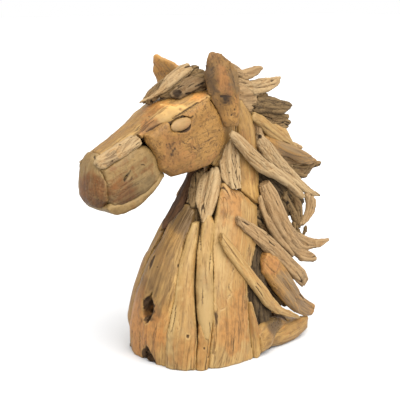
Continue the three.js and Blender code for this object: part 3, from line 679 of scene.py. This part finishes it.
# What else sets single pieces apart: the name of one of Wood's methods, then its values.
DETAILS = {
    "nose_tip": [
        ("pit", (-0.012, -0.285, 0.38), 0.05, 3.5 * MM, 1.0, 0.1, 0.0),
        ("grit", (0.026, -0.279, 0.344), 0.045, 4 * MM, 0.9 * MM),
        ("patch", "warm", (0.026, -0.279, 0.344), 0.055, 1.0),
        # painted shade on the underside of the tip
        ("patch", "shade", (0.02, -0.285, 0.335), 0.06, 0.28),
        ("patch", "tone", (0.024, -0.262, 0.398), 0.045, 0.4),
        ("crack", (0.009, -0.269, 0.415), (0.022, -0.271, 0.404), 2.4 * MM, 1.8 * MM),
    ],
    "nose_bridge": [
        ("pit", (0.021, -0.155, 0.476), 3.0 * MM, 1.2 * MM),
        # painted light: lighter where the forelock's shadow falls on the bridge
        ("patch", "shade", (0.016, -0.115, 0.497), 0.03, -0.3),
        ("patch", "warm", (0.03, -0.15, 0.47), 0.04, 0.4),
        # painted light: lighter where the forelock's shadow falls on the bridge
        ("patch", "shade", (0.027, -0.076, 0.509), 0.04, -0.45),
        ("patch", "tone", (0.042, -0.13, 0.482), 0.026, 1.0, 1.3),
        ("patch", "tone", (0.038, -0.104, 0.498), 0.026, 0.5, 1.3),
        ("patch", "tone", (0.034, -0.09, 0.504), 0.02, -1.4, 2.0),
        ("patch", "shade", (0.034, -0.09, 0.504), 0.026, -0.7, 2.0),
        ("patch", "warm", (0.03, -0.06, 0.515), 0.05, 0.6),
        ("patch", "warm", (0.015, -0.13, 0.49), 0.04, 0.5),
        ("crack", (0.04, -0.178, 0.45), (0.053, -0.138, 0.465), 8 * MM, 1.2 * MM, 0.8),
        ("patch", "warm", (0.04, -0.17, 0.454), 0.03, 0.9),
        ("patch", "shade", (0.046, -0.16, 0.456), 0.026, 0.5),
        ("crack", (0.053, -0.134, 0.468), (0.056, -0.04, 0.511), 2.6 * MM, 1.6 * MM),
    ],
    "nose_strip_left": [
        ("cut", (0.034, -0.188, 0.438), (0, 0.85, 0.5)),
        ("pit", (0.034, -0.228, 0.43), 3.2 * MM, 2 * MM),
        ("pit", (0.034, -0.25, 0.42), 2.6 * MM, 1.6 * MM),
        ("pit", (0.048, -0.252, 0.404), 5 * MM, 1.0 * MM, 1.4),
        ("patch", "tone", (0.046, -0.25, 0.405), 0.022, -0.9),
    ],
    "upper_lip_left": [
        ("patch", "warm", (0.044, -0.243, 0.36), 0.045, 0.35),
        ("patch", "warm", (0.049, -0.2, 0.392), 0.025, 0.25),
        # painted shade low on the muzzle, which faces down
        ("patch", "shade", (0.04, -0.21, 0.322), 0.065, 0.5),
        ("patch", "warm", (0.04, -0.225, 0.335), 0.05, 0.4),
        ("crack", (0.046, -0.231, 0.362), (0.049, -0.216, 0.386), 4.4 * MM, 0.8 * MM, 0.75),
        ("crack", (0.047, -0.222, 0.36), (0.05, -0.211, 0.376), 3 * MM, 0.6 * MM, 0.6),
        ("crack", (0.05, -0.193, 0.393), (0.05, -0.184, 0.391), 2.4 * MM, 1.2 * MM),
    ],
    "cheek_left": [
        ("socket", (0.06, -0.1128, 0.4636), 0.0262, 0.0164, 2.2 * MM),
        ("crack", (0.06, -0.09, 0.471), (0.06, -0.081, 0.476), 3.0 * MM, 1.4 * MM),
        ("crack", (0.036, -0.182, 0.447), (0.053, -0.138, 0.464), 5 * MM, 1.0 * MM, 0.9),
        ("crack", (0.053, -0.134, 0.467), (0.056, -0.04, 0.51), 2.6 * MM, 1.6 * MM),
        ("grit", (0.062, -0.131, 0.42), 0.03, 6 * MM, 1.0 * MM),
        ("pit", (0.062, -0.139, 0.428), 2.8 * MM, 0.6 * MM, 1.0, 0.25, 0.6),
        ("pit", (0.062, -0.126, 0.418), 2.6 * MM, 0.6 * MM, 1.0, 0.25, 0.6),
        ("patch", "hollow", (0.062, -0.133, 0.416), 0.016, 0.35),
        ("crack", (0.062, -0.112, 0.43), (0.062, -0.1, 0.424), 2.6 * MM, 0.6 * MM, 0.7),
        ("crack", (0.062, -0.086, 0.421), (0.062, -0.074, 0.409), 2.4 * MM, 0.6 * MM, 0.7),
        ("crack", (0.062, -0.074, 0.409), (0.062, -0.064, 0.414), 2.4 * MM, 0.6 * MM, 0.7),
        ("crack", (0.062, -0.11, 0.402), (0.062, -0.098, 0.392), 2.4 * MM, 0.6 * MM, 0.7),
        ("patch", "warm", (0.062, -0.125, 0.412), 0.05, 0.45),
        # painted shade on the low part of the cheek
        ("patch", "shade", (0.062, -0.125, 0.38), 0.07, 0.2),
        ("grit", (0.062, -0.08, 0.4), 0.03, 7 * MM, 0.8 * MM),
    ],
    "ear_left": [
        ("patch", "shade", (0.072, 0.0, 0.48), 0.03, -0.2),
        ("knot", (0.066, -0.013, 0.504), 9 * MM, 0.8 * MM),
        ("crack", (0.065, -0.024, 0.508), (0.07, 0.002, 0.507), 3.4 * MM, 1.6 * MM),
        ("patch", "warm", (0.067, -0.015, 0.537), 0.017, 0.8, 2.4),
        ("patch", "shade", (0.067, -0.015, 0.537), 0.02, -0.15, 2.2),
        ("patch", "shade", (0.057, -0.042, 0.55), 0.018, 0.6, 3.0),
        ("patch", "shade", (0.073, 0.008, 0.475), 0.03, -0.25, 1.4),
        ("patch", "hollow", (0.07, -0.008, 0.5), 0.014, 0.45),
        ("crack", (0.06, -0.027, 0.572), (0.064, -0.023, 0.535), 2.4 * MM, 0.5 * MM, 0.8),
        ("crack", (0.067, -0.002, 0.568), (0.073, 0.009, 0.519), 2.4 * MM, 0.5 * MM, 0.7),
        ("patch", "tone", (0.062, -0.036, 0.52), 0.02, -0.3, 2.5),
        ("patch", "tone", (0.066, 0.008, 0.54), 0.018, -0.6, 2.5),
        ("patch", "shade", (0.067, -0.01, 0.5), 0.022, 0.25, 1.6),
        ("pit", (0.072, 0.006, 0.482), 2.4 * MM, 1.4 * MM),
        ("pit", (0.071, 0.0, 0.472), 2.4 * MM, 1.4 * MM),
    ],
    "ear_right": [
        ("plump", 1.2 * MM),
        ("knot", (-0.066, -0.028, 0.516), 7 * MM, 0.7 * MM),
        ("patch", "tone", (-0.06, -0.04, 0.55), 0.03, -0.6, 2.0),
    ],
    "cheek_right": [
        ("socket", (-0.06, -0.1128, 0.4636), 0.0262, 0.0164, 2.2 * MM),
        ("crack", (-0.06, -0.09, 0.471), (-0.06, -0.081, 0.476), 3.0 * MM, 1.4 * MM),
        ("crack", (-0.06, -0.1, 0.412), (-0.06, -0.078, 0.398), 3.0 * MM, 0.8 * MM, 0.9),
        ("crack", (-0.06, -0.06, 0.44), (-0.058, -0.036, 0.452), 3.2 * MM, 1.0 * MM),
        ("grit", (-0.06, -0.12, 0.418), 0.03, 6 * MM, 1.0 * MM),
        ("pit", (-0.06, -0.066, 0.404), 3.4 * MM, 1.2 * MM),
        ("patch", "warm", (-0.06, -0.1, 0.39), 0.06, 0.6),
        ("patch", "warm", (-0.058, -0.03, 0.43), 0.045, 0.5),
        # painted shade on the low front of the cheek
        ("patch", "shade", (-0.06, -0.15, 0.4), 0.05, 0.25),
    ],
    "upper_lip_right": [
        ("patch", "warm", (-0.046, -0.245, 0.365), 0.04, 0.5),
        ("patch", "warm", (-0.049, -0.19, 0.345), 0.035, 0.35),
        # painted shade low on the muzzle, which faces down
        ("patch", "shade", (-0.045, -0.21, 0.325), 0.06, 0.4),
        ("crack", (-0.048, -0.236, 0.37), (-0.049, -0.22, 0.384), 4 * MM, 0.8 * MM, 0.75),
    ],
    "shoulder_right": [
        ("knot", (-0.098, -0.06, 0.17), 10 * MM, 1.2 * MM),
        ("pit", (-0.104, -0.07, 0.12), 4 * MM, 2.4 * MM),
        ("pit", (-0.12, -0.045, 0.07), 3.4 * MM, 2.4 * MM),
        ("patch", "warm", (-0.118, -0.06, 0.05), 0.06, 0.6, 1.5),
        ("patch", "tone", (-0.086, -0.06, 0.21), 0.05, -0.6, 1.6),
    ],
    "flank_right": [
        ("flake", (-0.106, 0.0, 0.15), 0.036, 1.4 * MM, 2.6),
        ("pit", (-0.09, 0.046, 0.225), 4 * MM, 2.6 * MM),
        ("patch", "warm", (-0.118, 0.03, 0.08), 0.05, 0.5, 1.8),
        ("patch", "tone", (-0.094, 0.04, 0.19), 0.04, 0.5, 2.0),
    ],
    "rear_right": [
        ("pit", (-0.094, 0.09, 0.105), 12 * MM, 5 * MM, 1.8),
        ("grit", (-0.095, 0.085, 0.1), 0.03, 6 * MM, 1.4 * MM),
        ("patch", "tone", (-0.09, 0.09, 0.16), 0.05, -0.6, 1.6),
    ],
    "lower_lip": [("plump", 1.6 * MM)],
    "forelock_cross": [
        ("stain", "warm", 0.4),
        # painted shade on the lower side of the cross, round its hole
        ("patch", "hollow", (0.03, -0.096, 0.514), 0.014, 0.6),
        ("knot", (0.03, -0.098, 0.517), 7 * MM, 2.0 * MM),
        ("crack", (0.036, -0.035, 0.533), (0.036, -0.075, 0.524), 5 * MM, 3.5 * MM),
        ("crack", (0.036, -0.04, 0.52), (0.036, -0.085, 0.512), 4 * MM, 3 * MM),
        ("pit", (0.03, -0.092, 0.517), 5 * MM, 3 * MM),
    ],
    "forelock_long": [
        ("pit", (0.003, -0.135, 0.509), 0.045, 2.4 * MM, 1.0, 0.1, 0.0),
        ("crack", (0.012, -0.075, 0.549), (0.008, -0.12, 0.52), 4 * MM, 2.4 * MM),
        ("crack", (0.014, -0.045, 0.566), (0.01, -0.07, 0.556), 4 * MM, 2.0 * MM),
        ("pit", (0.014, -0.069, 0.554), 2.6 * MM, 2.2 * MM),
        ("pit", (0.017, -0.08, 0.544), 2.6 * MM, 2.2 * MM),
    ],
    "chest_front": [
        ("patch", "tone", (0.03, -0.07, 0.3), 0.06, -0.8, 1.3),
        ("patch", "shade", (0.03, -0.065, 0.305), 0.06, 0.45, 1.3),
        ("patch", "tone", (0.03, -0.14, 0.19), 0.06, -0.6, 1.6),
        ("patch", "shade", (0.01, -0.158, 0.125), 0.04, 0.4, 1.5),
        ("grit", (0.014, -0.158, 0.134), 0.03, 5 * MM, 0.9 * MM),
        ("patch", "warm", (-0.02, -0.155, 0.08), 0.07, 0.6, 1.5),
        ("patch", "shade", (0.0, -0.157, 0.06), 0.1, -0.35),
        ("pit", (0.018, -0.159, 0.108), 16 * MM, 10 * MM, 1.6, 0.3),
        ("crack", (0.013, -0.16, 0.08), (0.018, -0.159, 0.108), 9 * MM, 8 * MM),
        ("crack", (0.003, -0.159, 0.124), (0.016, -0.159, 0.104), 7 * MM, 6 * MM),
        ("patch", "hollow", (0.014, -0.15, 0.104), 0.024, 0.9, 1.5),
        ("pit", (0.022, -0.138, 0.188), 3 * MM, 2 * MM),
        ("patch", "warm", (0.0, -0.155, 0.05), 0.08, 0.6, 1.5),
        ("crack", (0.011, -0.157, 0.034), (0.011, -0.156, -0.01), 12 * MM, 7 * MM),
        ("pit", (0.01, -0.155, 0.001), 25 * MM, 12 * MM),
        *SHOULDER_SEAM,
    ],
    "chest_edge": [
        ("pit", (-0.03, -0.104, 0.245), 0.07, 7 * MM, 1.0, 0.1, 0.0),
        ("pit", (-0.085, -0.138, 0.02), 0.05, 5 * MM, 1.0, 0.1, 0.0),
    ],
    "shoulder_front": [
        *SHOULDER_SEAM,
        ("plump", 1.6 * MM),
        ("pit", (0.098, -0.125, 0.068), 3.8 * MM, 3 * MM),
        ("patch", "tone", (0.066, -0.143, 0.076), 0.02, 0.7, 4.0),
        ("patch", "tone", (0.068, -0.135, 0.15), 0.018, 0.5, 4.0),
        ("patch", "warm", (0.09, -0.13, 0.04), 0.05, 0.5),
    ],
    "centre_slat": [
        ("plump", 2.6 * MM),
        ("patch", "tone", (0.09, -0.08, 0.18), 0.05, 0.3, 2.0),
        ("crack", (0.094, -0.093, 0.13), (0.1, -0.1, 0.078), 2.4 * MM, 1.6 * MM),
        ("crack", (0.098, -0.085, 0.14), (0.104, -0.09, 0.088), 2.4 * MM, 1.4 * MM),
        ("patch", "tone", (0.108, -0.092, 0.1), 0.034, 0.5, 2.2),
        ("patch", "shade", (0.098, -0.09, 0.12), 0.05, 0.25, 2.0),
        ("crack", (0.1, -0.094, 0.115), (0.106, -0.094, 0.064), 2.2 * MM, 1.2 * MM),
    ],
    "flank_left": [
        ("plump", 1.0 * MM),
        ("flake", (0.098, -0.05, 0.172), 0.034, 1.2 * MM, 2.6),
        ("patch", "tone", (0.09, -0.036, 0.225), 0.03, 0.5, 2.4),
        ("patch", "tone", (0.106, -0.05, 0.14), 0.03, -0.25, 1.8),
        ("patch", "warm", (0.116, -0.05, 0.06), 0.05, 0.6),
        ("patch", "warm", (0.114, -0.01, 0.09), 0.035, 0.6, 2.0),
        ("crack", (0.118, -0.061, 0.087), (0.118, -0.061, 0.075), 2.4 * MM, 1.5 * MM),
        ("crack", (0.104, -0.07, 0.118), (0.112, -0.06, 0.105), 2.4 * MM, 0.5 * MM),
        ("crack", (0.112, -0.06, 0.105), (0.114, -0.039, 0.121), 2.4 * MM, 0.5 * MM),
        ("patch", "warm", (0.09, -0.001, 0.243), 0.05, 0.4),
        ("patch", "warm", (0.075, 0.023, 0.31), 0.05, 0.4),
        ("patch", "warm", (0.07, 0.0, 0.34), 0.05, 0.7),
        ("patch", "warm", (0.08, -0.02, 0.29), 0.04, 0.5),
        ("patch", "warm", (0.115, -0.03, 0.1), 0.06, 0.35, 1.6),
    ],
    "foot_strip": [
        ("stain", "warm", 0.45),
        ("plump", 1.4 * MM),
        ("pit", (0.114, -0.099, 0.044), 3 * MM, 1.8 * MM),
        ("pit", (0.116, -0.089, 0.025), 2.6 * MM, 1.8 * MM),
    ],
    "root_foot": [
        ("pit", (0.083, 0.118, 0.05), 0.024, 6 * MM, 1.5),
        ("grit", (0.083, 0.12, 0.048), 0.034, 6 * MM, 2.4 * MM),
        ("patch", "tone", (0.086, 0.12, 0.052), 0.034, -0.9, 1.5),
        # lighter low on the root, taking back part of the painted underside shade
        ("patch", "shade", (0.08, 0.16, 0.02), 0.09, -0.4, 1.5),
    ],
    "lock_grey": [
        ("cut", (0.084, 0.002, 0.275), (0, -1, 0.1)),
        ("cut", (0.073, 0.197, 0.111), (0, 0.77, -0.63)),
        ("knot", (0.082, 0.178, 0.13), 9 * MM, 1.4 * MM),
        ("pit", (0.082, 0.184, 0.125), 4 * MM, 2.5 * MM),
    ],
    "lock_polished": [
        ("patch", "tone", (0.09, 0.165, 0.09), 0.09, -1.0, 1.4),
        ("patch", "tone", (0.09, 0.19, 0.07), 0.05, 0.3, 1.6),
        ("patch", "warm", (0.1, 0.074, 0.176), 0.04, 1.0),
        ("cut", (0.09, 0.066, 0.192), (0.1, -0.8, 0.6)),
        ("cut", (0.07, 0.224, 0.044), (0, 0.69, -0.72)),
    ],
    "cheek_slat": [
        ("cut", (0.063, 0.015, 0.328), (0, 0, -1)),
        ("pit", (0.058, 0.013, 0.374), 2.4 * MM, 1.6 * MM),
        ("pit", (0.065, 0.017, 0.345), 2.2 * MM, 1.6 * MM),
        ("pit", (0.06, 0.004, 0.36), 2.0 * MM, 1.4 * MM),
    ],
    "lock_wing": [("patch", "tone", (0.04, 0.19, 0.376), 0.08, -0.8, 1.3)],
    "root_heel": [
        ("grit", (0.1, 0.092, 0.06), 0.045, 4 * MM, 1.6 * MM),
        ("patch", "tone", (0.1, 0.092, 0.064), 0.05, -1.0, 1.2),
        ("patch", "shade", (0.1, 0.092, 0.068), 0.05, 0.7, 1.2),
        ("knot", (0.118, 0.05, 0.03), 10 * MM, 1.0 * MM),
    ],
    "lock_long": [
        ("cut", (0.068, 0.0, 0.439), (0, -0.81, 0.58)),
        ("cut", (0.058, 0.206, 0.287), (0, 0.95, -0.3)),
    ],
    "lock_second": [
        ("cut", (0.047, 0.087, 0.421), (0, -0.95, 0.3)),
        ("pit", (0.05, 0.09, 0.421), 6 * MM, 5 * MM),
    ],
    "lock_slat": [
        ("cut", (0.088, -0.038, 0.247), (0, -0.95, 0.3)),
        ("pit", (0.094, 0.14, 0.058), 0.08, 2.6 * MM, 1.0, 0.1, 0.0),
    ],
    "lock_sweep": [("cut", (0.065, 0.08, 0.328), (0, -0.35, 0.94))],
    "nose_strip_right": [("cut", (-0.034, -0.188, 0.438), (0, 0.85, 0.5))],
    # painted light: lighter low on the panel, where the locks cast shade
    "neck_panel_left": [("patch", "shade", (0.068, 0.053, 0.312), 0.05, -0.35)],
}


# ---- small sticks with no node of their own ----
def stick(thick, path):
    """A stick along a path, with its broad side towards +X, as a plain mesh."""
    shape = bmesh.new()
    bmesh.ops.create_cone(shape, cap_ends=True, segments=STICK_SIDES, radius1=1, radius2=1, depth=1)
    sides = [edge for edge in shape.edges if abs(edge.verts[0].co.z - edge.verts[1].co.z) > 0.5]
    bmesh.ops.subdivide_edges(shape, edges=sides, cuts=STICK_CUTS)
    *places, widths = np.array(path).T
    stops = np.linspace(0, 1, len(path))

    def along(share):
        return Vector([np.interp(share, stops, column) for column in places])

    for spot in shape.verts:
        at = spot.co.z + 0.5
        here = along(at)
        way = (along(at + STICK_STEP) - along(at - STICK_STEP)).normalized()
        side = way.cross(Vector((1, 0, 0))).normalized()
        out = side.cross(way)
        width = np.interp(at, stops, widths)
        spot.co = here + side * (spot.co.x * width / 2) + out * (spot.co.y * width * thick / 2)
    bmesh.ops.recalc_face_normals(shape, faces=shape.faces)
    mesh = bpy.data.meshes.new("stick")
    shape.to_mesh(mesh)
    shape.free()
    return mesh


# The finish, the thickness as a share of the width, then the path: each place and the width there.
STICKS = {
    "strand_curved": (
        "dark_root", 0.7,
        (0.046, 0.155, 0.3, 0.012), (0.046, 0.172, 0.276, 0.014), (0.046, 0.187, 0.257, 0.014),
        (0.046, 0.196, 0.235, 0.012), (0.046, 0.19, 0.217, 0.005),
    ),
    "strand_dark": (
        "dark_root", 0.7,
        (0.05, 0.16, 0.312, 0.016), (0.05, 0.188, 0.285, 0.014), (0.05, 0.2, 0.26, 0.012),
        (0.05, 0.203, 0.235, 0.011), (0.05, 0.195, 0.219, 0.005),
    ),
    "strand_hooklet": (
        "dark_root", 0.8,
        (0.044, 0.188, 0.222, 0.007), (0.044, 0.206, 0.212, 0.007), (0.044, 0.218, 0.204, 0.004),
    ),
    "strand_spur": (
        "dark_root", 0.8,
        (0.044, 0.226, 0.224, 0.007), (0.044, 0.224, 0.212, 0.008), (0.044, 0.218, 0.2, 0.004),
    ),
    "root_behind": (
        "dark_root", 0.4,
        (0.04, 0.09, 0.366, 0.04), (0.04, 0.129, 0.33, 0.052), (0.04, 0.163, 0.301, 0.05),
        (0.042, 0.196, 0.278, 0.036), (0.044, 0.218, 0.266, 0.01),
    ),
    "root_below": (
        "dark_root", 0.5,
        (0.036, 0.1, 0.33, 0.03), (0.036, 0.133, 0.305, 0.034), (0.036, 0.155, 0.282, 0.028),
        (0.036, 0.175, 0.262, 0.022), (0.036, 0.187, 0.248, 0.008),
    ),
    "lobe_upper": (
        "golden_teak", 0.45,
        (0.033, 0.11, 0.438, 0.02), (0.033, 0.14, 0.427, 0.034), (0.033, 0.165, 0.418, 0.036),
        (0.033, 0.192, 0.398, 0.012),
    ),
    "lobe_tip": (
        "grey_driftwood", 0.6,
        (0.031, 0.165, 0.404, 0.016), (0.031, 0.197, 0.391, 0.014), (0.031, 0.226, 0.385, 0.004),
    ),
    "wing_filler": (
        "grey_driftwood", 0.5,
        (0.03, 0.12, 0.392, 0.03), (0.03, 0.163, 0.372, 0.034), (0.03, 0.196, 0.36, 0.03),
        (0.03, 0.23, 0.358, 0.012),
    ),
    "inner_low": (
        "dark_root", 0.4,
        (0.07, 0.07, 0.165, 0.04), (0.07, 0.1, 0.127, 0.05), (0.07, 0.13, 0.094, 0.04),
        (0.07, 0.152, 0.07, 0.012),
    ),
    "crown_fill": (
        "dark_root", 0.7,
        (-0.002, -0.116, 0.508, 0.016), (0.004, -0.1, 0.517, 0.026), (0.014, -0.07, 0.526, 0.03),
        (0.022, -0.04, 0.532, 0.034), (0.026, -0.01, 0.536, 0.026),
    ),
    "root_heel": (
        "honey_teak", 0.55,
        (0.116, 0.03, 0.028, 0.05), (0.108, 0.054, 0.034, 0.062), (0.096, 0.082, 0.042, 0.052),
        (0.084, 0.116, 0.036, 0.044), (0.076, 0.15, 0.026, 0.02),
    ),
    "root_under": (
        "honey_teak", 0.75,
        (0.1, 0.07, 0.022, 0.03), (0.09, 0.115, 0.02, 0.042), (0.081, 0.155, 0.019, 0.04),
        (0.074, 0.192, 0.026, 0.032), (0.07, 0.208, 0.034, 0.012),
    ),
    "neck_fill": (
        "honey_teak", 0.4,
        (0.034, 0.018, 0.48, 0.036), (0.036, 0.024, 0.44, 0.056), (0.034, 0.012, 0.4, 0.056),
        (0.03, -0.01, 0.37, 0.03),
    ),
    "throat_fill": (
        "dark_root", 0.4,
        (0.014, -0.036, 0.33, 0.04), (0.018, -0.042, 0.3, 0.046), (0.026, -0.046, 0.27, 0.046),
        (0.034, -0.054, 0.24, 0.03),
    ),
    "lobe_behind": (
        "golden_teak", 0.5,
        (0.028, 0.08, 0.44, 0.024), (0.028, 0.11, 0.428, 0.034), (0.028, 0.145, 0.41, 0.034),
        (0.028, 0.19, 0.392, 0.012),
    ),
    "leaf_stub": (
        "grey_driftwood", 0.6,
        (0.034, 0.02, 0.556, 0.02), (0.034, 0.042, 0.549, 0.02), (0.034, 0.06, 0.541, 0.012),
    ),
    "split_knob": (
        "dark_root", 0.8,
        (0.03, 0.098, 0.506, 0.014), (0.03, 0.115, 0.502, 0.018), (0.03, 0.13, 0.499, 0.01),
    ),
    "split_under": (
        "grey_driftwood", 0.6,
        (0.03, 0.04, 0.527, 0.026), (0.03, 0.075, 0.516, 0.03), (0.03, 0.112, 0.5, 0.014),
    ),
    "lumpy_under": (
        "dark_root", 0.5,
        (0.026, 0.085, 0.48, 0.03), (0.026, 0.125, 0.458, 0.034), (0.026, 0.16, 0.449, 0.026),
        (0.026, 0.19, 0.45, 0.01),
    ),
    "sweep_under": (
        "dark_root", 0.5,
        (0.062, 0.07, 0.28, 0.03), (0.062, 0.099, 0.244, 0.036), (0.062, 0.125, 0.208, 0.016),
    ),
}


def carve(part, name, source, slot, seed):
    """Makes one part from its plain shape: shaped as its kind of wood, then given its own details."""
    shape, grid = SHAPING[SHAPED_AS.get(part, slot)]
    piece = Wood(name, source, COARSE.get(part, grid), SEEDS.get(part, seed))
    shape(piece)
    piece.stain("shade", SHADES.get(part, 0.0))
    for method, *values in DETAILS.get(part, ()):
        getattr(piece, method)(*values)
    return piece.finish(slot)


def make_horse():
    """Replaces each CAD node by its carved piece, and adds the small sticks."""
    slots = {part["node"]: part["material_slot"] for part in frame["record"]["subparts"]}
    for seed, node in enumerate(sorted(slots), 1):
        piece = carve(node, node + "_wood", frame["nodes"][node].data, slots[node], seed)
        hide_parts(node)
    for seed, (name, (slot, thick, *path)) in enumerate(STICKS.items(), 90):
        carve(name, name, stick(thick, path), slot, seed)


# ---- the scene ----
def make_floor():
    """A wide, pale, dull floor."""
    shape = bmesh.new()
    bmesh.ops.create_grid(shape, x_segments=1, y_segments=1, size=FLOOR_HALF)
    mesh = bpy.data.meshes.new("floor")
    shape.to_mesh(mesh)
    shape.free()
    floor = bpy.data.objects.new("floor", mesh)
    bpy.context.scene.collection.objects.link(floor)
    mat = Material("pale_floor")
    colour = mat.blend(mat.cloud(mat.place(), 1, 1), *FLOOR_COLOURS)
    shader = mat.node("BsdfPrincipled", {}, {"Base Color": colour, "Roughness": 0.9})
    mat.node("OutputMaterial", {}, {"Surface": shader})
    mesh.materials.append(mat.made)


def aim(thing, place, target):
    """Puts a light or a camera at a place and turns it to its target."""
    thing.location = place
    thing.rotation_euler = (Vector(target) - Vector(place)).to_track_quat("-Z", "Y").to_euler()


def make_light(name, place, power, softness):
    """Even light from one side, wherever it falls."""
    lamp = bpy.data.lights.new(name, "SUN")
    lamp.energy, lamp.angle = power, softness
    light = bpy.data.objects.new(name, lamp)
    bpy.context.scene.collection.objects.link(light)
    aim(light, place, LIGHT_TARGET)


def make_studio():
    """A white room with two lights."""
    world = bpy.data.worlds.new("studio")
    world.use_nodes = True
    sky = world.node_tree.nodes["Background"]
    sky.inputs["Color"].default_value = (1, 1, 1, 1)
    sky.inputs["Strength"].default_value = 1.0
    bpy.context.scene.world = world
    bpy.context.scene.view_settings.view_transform = "Standard"
    for name, values in LIGHTS.items():
        make_light(name, *values)


def make_camera():
    """A long lens, in front of the horse's left side and a little above it."""
    lens = bpy.data.cameras.new("camera")
    lens.lens, lens.sensor_width = LENS, SENSOR
    lens.clip_start, lens.clip_end = NEAREST, FARTHEST
    camera = bpy.data.objects.new("camera", lens)
    bpy.context.scene.collection.objects.link(camera)
    aim(camera, CAMERA_PLACE, CAMERA_TARGET)
    bpy.context.scene.camera = camera


make_horse()
make_floor()
make_studio()
make_camera()
